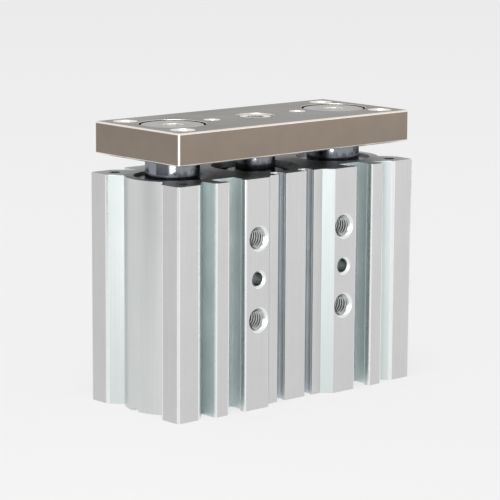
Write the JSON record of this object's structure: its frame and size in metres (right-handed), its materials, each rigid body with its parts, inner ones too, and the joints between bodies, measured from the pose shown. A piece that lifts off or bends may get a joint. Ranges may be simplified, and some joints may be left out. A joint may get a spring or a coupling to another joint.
{
  "type": "guided pneumatic cylinder",
  "caption": "Compact guided pneumatic cylinder: extruded housing with T-slots and ports, a piston rod between two guide rods, and a tooling plate that they push out.",
  "frame": {"origin": "middle of the housing's rear face, which is the lowest plane", "axes": "+Z the way the plate travels out, +X along the wide faces, -Y the wide face with the tapped holes and T-slots"},
  "size_m": [0.093, 0.042, 0.083],
  "materials": {
    "anodised_extrusion": "clear anodised satin extrusion",
    "turned_aluminium": "fine turned",
    "plated_steel": "ground and nickel plated",
    "hard_chrome": "ground and polished hard chrome",
    "screw_steel": "bright nickel plated",
    "spring_steel": "phosphated spring steel",
    "bearing_bronze": "sintered bronze",
    "nitrile_rubber": "matte black",
    "urethane": "matte translucent brown",
    "wear_resin": "matte",
    "bonded_magnet": "matte",
    "oil_felt": "oil-soaked felt"
  },
  "bodies": {
    "cylinder": {"housing": "anodised_extrusion", "head_cover": "turned_aluminium", "head_cover_o_ring": "nitrile_rubber", "head_cover_retaining_ring": "spring_steel", "rod_cover": "turned_aluminium", "rod_cover_o_ring": "nitrile_rubber", "rod_cover_retaining_ring": "spring_steel", "rod_bush": "bearing_bronze", "rod_seal": "nitrile_rubber", "guide_bush_front_left": "bearing_bronze", "guide_bush_front_right": "bearing_bronze", "guide_bush_rear_left": "bearing_bronze", "guide_bush_rear_right": "bearing_bronze", "guide_felt_left": "oil_felt", "guide_felt_right": "oil_felt", "felt_holder_left": "spring_steel", "felt_holder_right": "spring_steel"},
    "slide": {"end_plate": "plated_steel", "piston_rod": "hard_chrome", "piston": "turned_aluminium", "piston_seal": "nitrile_rubber", "piston_magnet": "bonded_magnet", "piston_wear_ring": "wear_resin", "front_bumper": "urethane", "rear_bumper": "urethane", "piston_nut": "screw_steel", "guide_rod_left": "hard_chrome", "guide_rod_right": "hard_chrome", "guide_bolt_left": "screw_steel", "guide_bolt_right": "screw_steel", "plate_bolt": "screw_steel"}
  },
  "joints": [
    {"name": "plate_slide", "type": "slide", "parent": "cylinder", "child": "slide", "axis": [0, 0, 1], "range_m": [0, 0.03]}
  ]
}
